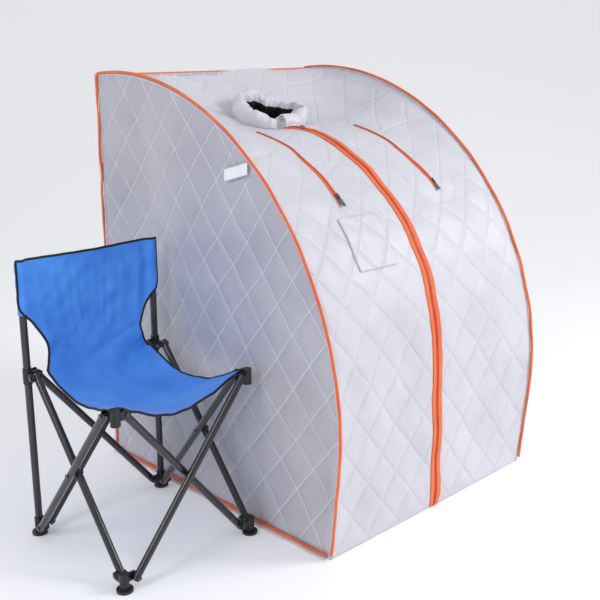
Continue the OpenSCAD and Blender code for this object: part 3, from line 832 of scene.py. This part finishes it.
def main_zip(side):
    name = SIDE_NAMES[side]
    v = np.linspace(FRONT_V, 0.999, 900)
    splay = ZIP_SPLAY * (1 - smooth(FRONT_V, FRONT_V + 0.022, v))
    wander = 0.0012 * Noise(71, 0.2, dims=1)(v[:, None] * FRONT_LEN)
    tape = [side * (0.0010 + (ZIP_GAP + 0.001) * t + splay) + wander for t in np.linspace(0, 1, 6)]
    coil = [side * (0.0003 + 0.0028 * t + splay) + wander for t in np.linspace(0, 1, 5)]
    strip = zip_strip(name + "_zip_band", tape, v, 0.0003, 0.0016, flip=side < 0)
    ridge = zip_strip(name + "_zip_coil", coil, v, 0.0012, 0.0016, teeth=0.0008, flip=side < 0)
    for piece, material in ((strip, ORANGE_TAPE), (ridge, RED_COIL)):
        paint(piece, material)
        blend_across_fold(piece, side)
    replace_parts(strip, name + "_zip_tape", name + "_zip_tape_lower")


def arm_zip(side):
    name = SIDE_NAMES[side]
    x0 = side * ARM_ZIP_X
    v = np.linspace(*ARM_ZIP_V, 260)
    half = 0.0010 + 0.0052 * smooth(0.29, 0.44, v)
    tape = [x0 + half * t for t in np.linspace(-1, 1, 7)]
    coil = [x0 + 0.0013 * t for t in np.linspace(-1, 1, 4)]
    strip = zip_strip(name + "_arm_zip_band", tape, v, 0.0008, 0.0026)
    finish_piece(strip, ORANGE_TAPE, "tent", (name + "_arm_tape",))
    ridge = zip_strip(name + "_arm_zip_coil", coil, v, 0.0018, 0.0012, teeth=0.0006)
    finish_piece(ridge, RED_COIL, "tent")


for tent_side in (-1, 1):
    main_zip(tent_side)
    arm_zip(tent_side)

# ---------------------------------------------------------------- collar, pocket, tag


def collar_grid(turns):
    """Outer wall, rolled rim and inner wall of the collar, from the base seam to the drawn-in opening."""
    theta = np.linspace(0, 2 * math.pi, turns, endpoint=False)
    t = np.linspace(0, 1, COLLAR_ROWS)
    profile = spline((
        (COLLAR_OUT - 0.004, -0.006, 0), (COLLAR_OUT, 0.012, 0), (COLLAR_OUT - 0.003, 0.030, 0),
        (COLLAR_OUT - 0.010, COLLAR_HEIGHT - 0.002, 0), (COLLAR_OUT - 0.020, COLLAR_HEIGHT, 0),
        (0.069, 0.034, 0), (0.064, 0.022, 0),
    ), t)
    ring = np.stack([np.cos(theta), np.sin(theta)], axis=-1)
    gathers = Noise(81, 0.42, waves=30, dims=2)(ring)
    sway = Noise(82, 1.3, waves=16, dims=2)(ring)
    peaks = np.abs(Noise(83, 0.8, waves=12, dims=2)(ring))
    loose = smooth(0.0, 0.25, t)[:, None]
    inner = smooth(0.45, 0.95, t)[:, None]
    radius = profile[:, 0][:, None] + loose * (0.0022 * gathers + 0.0022 * sway)
    pleats = np.abs(Noise(84, 0.34, waves=20, dims=2)(ring)) - 0.6
    lobes = 0.006 * np.cos(2 * theta - 0.5) + 0.004 * np.cos(3 * theta + 1.1)
    radius = radius + inner * (0.0045 * gathers + lobes)
    mouth = np.sin(math.pi * np.clip(t, 0, 1))[:, None]
    radius = radius - 0.0045 * mouth * pleats
    lower_front = 1.0 - COLLAR_FRONT_DROP * smooth(-0.2, 1.0, -np.sin(theta))
    height = profile[:, 1][:, None] * lower_front + loose * (0.0030 * sway + 0.0055 * mouth * (peaks - 0.6))
    return np.stack([radius * np.cos(theta), radius * np.sin(theta), height], axis=-1)


def neck_collar():
    """Gathered collar: a loose cloth ring sewn to the cover and drawn in at the neck opening."""
    turns = 260
    grid = collar_grid(turns)
    pins = np.zeros((COLLAR_ROWS, turns))
    pins[:2] = 1.0
    pins[-1] = 1.0
    grid = pinned_cloth(grid, pins, 9, 0.025, bending=0.3, gravity=0.0, wrap=True)
    faces = grid_faces(COLLAR_ROWS, turns, wrap_cols=True)
    obj = mesh_object("collar_fabric", collar_world(grid).reshape(-1, 3), faces)
    thicken(obj, 0.0022)
    divide = obj.modifiers.new("smooth", "SUBSURF")
    divide.levels = 1
    divide.render_levels = 1
    apply_modifiers(obj)
    return finish_piece(obj, SILVER_CLOTH, "tent", ("neck_collar",))


def collar_shade_sheet():
    """Near-black sheet that hangs from the drawn-in opening into the tent: painted shade for the dark
    inside seen through the opening.
    """
    turns, rows = 120, 14
    edge = collar_grid(turns)[-1]
    drop = np.linspace(0, 1, rows)[:, None, None]
    sides = edge * (1 + 0.10 * drop * np.array([1, 1, 0])) - drop * np.array([0, 0, 0.070])
    faces = grid_faces(rows, turns, wrap_cols=True)
    obj = mesh_object("collar_shade_sheet", collar_world(sides).reshape(-1, 3), faces)
    thicken(obj, 0.0012, offset=1.0)
    # Painted shade: the near-black sheet darkens the view into the opening.
    return finish_piece(obj, BLACK_SHADE_SHEET, "tent")


def collar_tab():
    """Closure tab: a stitched flap from the front of the opening down the collar's outer wall."""
    cols, rows = 25, 29
    body = JOINTS["collar_tab_open"]["child"]
    across, along = np.meshgrid(np.linspace(-1, 1, cols), np.linspace(0, 1, rows), indexing="ij")
    profile = spline(((0.070, 0.029, 0), (0.079, 0.038, 0), (0.091, 0.037, 0), (0.1000, 0.028, 0),
                      (0.1025, 0.020, 0), (0.1030, 0.014, 0)), along[0])
    radius = profile[:, 0][None, :] + 0.0010 * np.sin(across * 4 + along * 7)
    angle = TAB_MIDDLE + across * TAB_HALF_W / radius
    hem = 0.0012 * (np.maximum(np.abs(across), np.abs(2 * along - 1)) > 0.86)
    radius = radius + hem
    height = np.broadcast_to(profile[:, 1][None, :], radius.shape) + 0.0012 * np.cos(across * 3)
    grid = np.stack([radius * np.cos(angle), radius * np.sin(angle), height], axis=-1)
    obj = sheet("collar_tab_cloth", collar_world(grid), 0.0022)
    return finish_piece(obj, SILVER_CLOTH, body, ("collar_tab",))


def patch_pocket():
    """Flat patch sewn to the left front, with a turned hem and a row of stitches."""
    low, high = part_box("patch_pocket")
    x, v = np.meshgrid(np.linspace(low[0], high[0], 48), np.linspace(*POCKET_V, 42), indexing="ij")
    u = 2 * (x - low[0]) / (high[0] - low[0]) - 1
    w = 2 * (v - POCKET_V[0]) / (POCKET_V[1] - POCKET_V[0]) - 1
    rim = np.maximum(np.abs(u), np.abs(w))
    hem = 0.0006 * smooth(0.80, 0.84, rim) - 0.0006 * np.exp(-((rim - 0.88) / 0.02) ** 2)
    loose = 0.0008 * Noise(101, 0.06)(cover_points(x, v)) * (1 - smooth(0.7, 0.95, rim))
    obj = cover_sheet("pocket_cloth", x, v, thickness=0.0030, lift=0.0014 + hem + loose)
    return finish_piece(obj, SILVER_FRONT, "tent", ("patch_pocket",))


def side_tag():
    """Small blank woven tag caught in the left seam, slightly curled at its free end."""
    low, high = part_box("side_tag")
    y, z = np.meshgrid(np.linspace(low[1], high[1], 33), np.linspace(low[2], high[2], 13), indexing="ij")
    free = (y - low[1]) / (high[1] - low[1])
    slope, short = -0.30, 0.84
    x = low[0] - 0.0045 - 0.006 * free ** 2 - 0.0012 * np.sin(free * 9)
    middle = (low[2] + high[2]) / 2
    along = (y - low[1]) * short
    points = np.stack([x, low[1] + along, middle + (z - middle) * 0.8 + slope * along + 0.006], axis=-1)
    obj = sheet("tag_cloth", points, 0.0012)
    return finish_piece(obj, WHITE_TAG, "tent", ("side_tag",))


def floor_cloth():
    """Floor of the tent: a coated sheet with soft ripples, inside the side walls."""
    low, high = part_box("floor_mat")
    x, y = np.meshgrid(np.linspace(low[0], high[0], 60), np.linspace(low[1], high[1], 66), indexing="ij")
    flat = np.stack([x, y, np.zeros_like(x)], axis=-1)
    z = high[2] - 0.0008 + 0.0007 * Noise(111, 0.12)(flat)
    obj = sheet("floor_cloth", np.stack([x, y, z], axis=-1), high[2] - low[2] - 0.0016, flip=True)
    return finish_piece(obj, FLOOR_CLOTH, "tent", ("floor_mat",))


collar_shade_sheet()
collar_tab()
patch_pocket()
side_tag()
floor_cloth()
neck_collar()


def bevelled(obj, material, width=0.0006):
    paint_slots(obj, material)
    bevel = obj.modifiers.new("edge", "BEVEL")
    bevel.width = width
    bevel.segments = 2
    bevel.limit_method = "ANGLE"
    bevel.angle_limit = math.radians(40)


def paint_slots(obj, material):
    """Gives a piece of the frame one material without touching its mesh."""
    if not obj.material_slots:
        obj.data.materials.append(material)
    for material_slot in obj.material_slots:
        material_slot.material = material


for node_name, node in NODES.items():
    if node_name.startswith(("leg_", "chair_post")):
        paint_slots(node, BLACK_TUBE)
    elif node_name.startswith(("foot_", "hub_", "corner_connectors", "steam_port")):
        bevelled(node, BLACK_PLASTIC)
    elif "slider" in node_name or node_name.endswith("arm_pull"):
        bevelled(node, DARK_METAL, 0.0004)
    elif node_name == "zip_pull":
        bevelled(node, ORANGE_TAPE, 0.0004)
    elif node_name.endswith("rod") or node_name in ("rear_posts", "floor_side_rods", "cross_rods"):
        paint_slots(node, FIBRE_ROD)

# ---------------------------------------------------------------- chair sling

SEAT_CORNERS = np.array([JOINTS[name]["pos_m"] for name in JOINTS if name.endswith("_droop")])
CHAIR_X, CHAIR_Y = SEAT_CORNERS[:, 0].mean(), SEAT_CORNERS[:, 1].mean()
HALF_SPAN = np.ptp(SEAT_CORNERS[:, 0]) / 2
SLING_T = 0.0016
BINDING_R = 0.0027
SLEEVE_R = 0.0098
SLEEVE_LOW = 0.505
SLING_TOP = 0.622

# Side edge and centre line of the sling: inset from the post line, y from the chair's centre, height
SIDE_EDGE = (
    (0.010, -0.160, 0.384), (0.026, -0.110, 0.366), (0.036, -0.040, 0.352), (0.036, 0.040, 0.350),
    (0.030, 0.100, 0.358), (0.032, 0.134, 0.374), (0.044, 0.152, 0.400), (0.047, 0.160, 0.432),
    (0.030, 0.163, 0.470), (0.004, 0.165, 0.500), (-0.0095, 0.165, 0.522), (-0.0095, 0.165, 0.572),
    (-0.0095, 0.165, 0.622),
)
CENTRE_LINE = (
    (0.0, -0.146, 0.338), (0.0, -0.100, 0.334), (0.0, -0.040, 0.330), (0.0, 0.030, 0.331),
    (0.0, 0.085, 0.340), (0.0, 0.128, 0.362), (0.0, 0.155, 0.398), (0.0, 0.170, 0.436),
    (0.0, 0.177, 0.474), (0.0, 0.178, 0.500), (0.0, 0.177, 0.520), (0.0, 0.173, 0.570),
    (0.0, 0.168, 0.618),
)
SEAT_SHARE = 5.0 / 12.0
SLEEVE_SHARE = 9.6 / 12.0


def sling_grid(cols, rows):
    """The sling at rest as a grid of points: first index across, second from the front edge to the top."""
    u = np.linspace(-1, 1, cols)[:, None]
    t = np.linspace(0, 1, rows)
    side, centre = spline(SIDE_EDGE, t), spline(CENTRE_LINE, t)
    x = u * (HALF_SPAN - side[:, 0])
    mix = np.abs(u) ** 2.2
    y = centre[:, 1] * (1 - mix) + side[:, 1] * mix
    z = centre[:, 2] * (1 - mix) + side[:, 2] * mix
    post = np.exp(-((np.abs(x) - HALF_SPAN) / 0.011) ** 2) * smooth(0.48, 0.51, z)
    y = y - (SLEEVE_R + SLING_T) * post
    return np.stack([x + CHAIR_X, y + CHAIR_Y, z], axis=-1)


def grid_normals(grid):
    n = np.cross(np.gradient(grid, axis=0), np.gradient(grid, axis=1))
    return n / np.linalg.norm(n, axis=-1, keepdims=True)


def layered_piece(name, grid, normals, rows, cols, thickness):
    """Closed two-sided piece cut from a grid by two index ranges, shaded as one with its neighbours."""
    part = grid[rows[0]:rows[1] + 1, cols[0]:cols[1] + 1]
    n = normals[rows[0]:rows[1] + 1, cols[0]:cols[1] + 1]
    a, b = part.shape[:2]
    upper, lower = part + n * thickness / 2, part - n * thickness / 2
    count = a * b
    faces = [tuple(f[::-1]) for f in grid_faces(a, b)]
    faces += [tuple(f + count) for f in grid_faces(a, b)]
    index = np.arange(count).reshape(a, b)
    rim = np.concatenate([index[:, 0], index[-1, 1:], index[-2::-1, -1], index[0, -2:0:-1]])
    for k, here in enumerate(rim):
        there = rim[(k + 1) % len(rim)]
        faces.append((here, there, there + count, here + count))
    obj = mesh_object(name, np.concatenate([upper.reshape(-1, 3), lower.reshape(-1, 3)]), faces)
    shading = np.concatenate([n.reshape(-1, 3), -n.reshape(-1, 3)])
    obj.data.normals_split_custom_set_from_vertices([tuple(map(float, v)) for v in shading])
    return obj


def sling():
    cols, rows = 73, 121
    grid = sling_grid(cols, rows)
    t = np.linspace(0, 1, rows)
    edge = np.zeros((cols, rows))
    held = (t > SLEEVE_SHARE) * 1.0
    edge[0], edge[-1] = held, held
    edge[1], edge[-2] = held, held
    for corner in (0.0, SEAT_SHARE):
        near = np.exp(-((t - corner) / 0.02) ** 2)
        edge[0] = np.maximum(edge[0], near > 0.5)
        edge[-1] = np.maximum(edge[-1], near > 0.5)
    edge[:, -1] = 1.0
    grid = pinned_cloth(grid, edge, 20, 0.008, bending=0.4, gravity=0.7)
    u = (grid[..., 0] - CHAIR_X) / HALF_SPAN
    t = np.linspace(0, 1, rows)[None, :]
    normals = grid_normals(grid)
    folds = 0.0016 * Noise(91, 0.16)(grid) + 0.0009 * Noise(92, 0.05)(grid)
    folds = folds + sling_creases(grid) * (1 - u ** 4)
    grid = grid + normals * (folds * (1 - np.clip(np.abs(u), 0, 1) ** 6))[..., None]
    normals = grid_normals(grid)
    half, seat, middle = cols // 2, int(rows * SEAT_SHARE), int(rows * SEAT_SHARE * 0.5)
    quarters = {
        "front_left": ((0, half), (0, middle)), "front_right": ((half, cols - 1), (0, middle)),
        "rear_left": ((0, half), (middle, seat)), "rear_right": ((half, cols - 1), (middle, seat)),
    }
    for corner, (across, along) in quarters.items():
        cloth = layered_piece("sling_seat_" + corner, grid, normals, across, along, SLING_T)
        outer = 0 if across[0] == 0 else cols - 1
        path = list(grid[outer, along[0]:along[1] + 1])
        if corner.startswith("front"):
            front = grid[across[0]:across[1] + 1, 0]
            path = (list(front[::-1]) if outer == 0 else list(front)) + path[1:]
        edging = binding("binding_" + corner, path)
        looks = ((cloth, BLUE_SLING, "blue_fabric"), (edging, BLACK_EDGE, "black_plastic"))
        for piece, material, slot in looks:
            stands_for = ("seat_" + corner,) if piece is cloth else ()
            finish_piece(piece, material, "seat_" + corner, stands_for)
            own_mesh(piece)
    back = layered_piece("sling_back", grid, normals, (0, cols - 1), (seat, rows - 1), SLING_T)
    outline = list(grid[0, seat:]) + list(grid[1:-1, -1]) + list(grid[-1, seat:][::-1])
    edging = binding("binding_back", outline)
    for piece, material, slot in ((back, BLUE_SLING, "blue_fabric"), (edging, BLACK_EDGE, "black_plastic")):
        finish_piece(piece, material, "chair_base", ("backrest",) if piece is back else ())
        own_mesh(piece)


def sling_creases(grid):
    """Shallow creases that run out from the waist and the corners of the sling."""
    x, y, z = grid[..., 0] - CHAIR_X, grid[..., 1] - CHAIR_Y, grid[..., 2]
    down = np.where(y < 0.12, 0.36 - (0.165 - y), z)
    total = np.zeros_like(x)
    for side in (-1, 1):
        for start, angle, length, depth in (
            ((0.118, 0.43), 200, 0.16, 0.0035), ((0.118, 0.42), 165, 0.12, 0.003),
            ((0.125, 0.40), 215, 0.14, 0.003), ((0.150, 0.50), 150, 0.10, 0.0022),
            ((0.150, 0.60), 225, 0.09, 0.0025), ((0.130, 0.36), 190, 0.13, 0.003),
        ):
            a = math.radians(angle)
            dx, dz = side * x - start[0], down - start[1]
            along = dx * math.cos(a) + dz * math.sin(a)
            across = -dx * math.sin(a) + dz * math.cos(a)
            fade = smooth(-0.01, 0.02, along) * (1 - smooth(0.4 * length, length, along))
            width = 0.006 + 0.05 * np.clip(along, 0, 1)
            total = total - depth * np.exp(-(across / width) ** 2) * fade
    return total


def binding(name, path):
    return tube(name, resample(path, 0.004), BINDING_R, 10)


def sleeves():
    """Fabric sleeves that slip over the two back posts."""
    for name, side, body in (("left", -1, "chair_base"), ("right", 1, "foot_rear_right")):
        z = np.arange(SLEEVE_LOW, SLING_TOP - 0.004, 0.004)
        x, y = CHAIR_X + side * HALF_SPAN, CHAIR_Y + HALF_SPAN
        path = np.stack([np.full_like(z, x), np.full_like(z, y), z], axis=-1)
        obj = tube("sling_sleeve_" + name, path, SLEEVE_R + 0.0006 * np.sin(z * 190), 20)
        finish_piece(obj, BLUE_SLING, body)


sling()
sleeves()

# ---------------------------------------------------------------- floor, light, camera


def studio():
    """Pale floor that curves up behind the object, soft light all round and two soft lamps."""
    n, half_size, bend = 40, 6.0, 3.0
    line = np.linspace(-half_size, half_size, n)
    gx, gy = np.meshgrid(line, line, indexing="ij")
    gz = np.where(gy + gx > bend, 0.06 * (gy + gx - bend) ** 2, 0.0)
    floor = mesh_object("studio_floor", np.stack([gx, gy, gz - 0.0005], axis=-1).reshape(-1, 3),
                        grid_faces(n, n)[:, ::-1])
    material, nodes, links, shader = new_material("studio_paper", 0.9)
    shader.inputs["Base Color"].default_value = (0.93, 0.93, 0.94, 1)
    shader.inputs["Emission Color"].default_value = (1, 1, 1, 1)
    shader.inputs["Emission Strength"].default_value = 0.16
    paint(floor, material)
    world = bpy.data.worlds.new("studio")
    bpy.context.scene.world = world
    world.use_nodes = True
    background = world.node_tree.nodes["Background"]
    background.inputs["Color"].default_value = (0.95, 0.96, 1.0, 1)
    background.inputs["Strength"].default_value = 0.62

    def area(name, place, target, width, power, colour=(1, 1, 1)):
        light = bpy.data.lights.new(name, "AREA")
        light.shape = "SQUARE"
        light.size = width
        light.energy = power
        light.color = colour
        obj = bpy.data.objects.new(name, light)
        obj.location = place
        direction = Vector(target) - Vector(place)
        obj.rotation_euler = direction.to_track_quat("-Z", "Y").to_euler()
        bpy.context.scene.collection.objects.link(obj)

    area("key", (1.9, -2.4, 2.3), (0, -0.2, 0.5), 1.2, 58)
    area("fill", (-3.0, -0.4, 2.2), (-0.3, 0, 0.5), 1.0, 22, (0.96, 0.97, 1.0))
    bpy.context.scene.view_settings.view_transform = "Standard"


def camera():
    """Camera at the left front of the tent, a little above it."""
    data = bpy.data.cameras.new("camera")
    obj = bpy.data.objects.new("camera", data)
    bpy.context.scene.collection.objects.link(obj)
    azimuth, elevation, distance = math.radians(-45.135), math.radians(14.671), 2.422
    target = Vector((0.011, 0.0, 0.454))
    back = Vector((math.sin(azimuth) * math.cos(elevation), -math.cos(azimuth) * math.cos(elevation),
                   math.sin(elevation)))
    obj.location = target + back * distance
    obj.rotation_euler = (-back).to_track_quat("-Z", "Y").to_euler()
    data.sensor_width = 36.0
    data.lens = 57.5
    data.shift_x = -0.030
    data.shift_y = -0.020
    bpy.context.scene.camera = obj


studio()
camera()
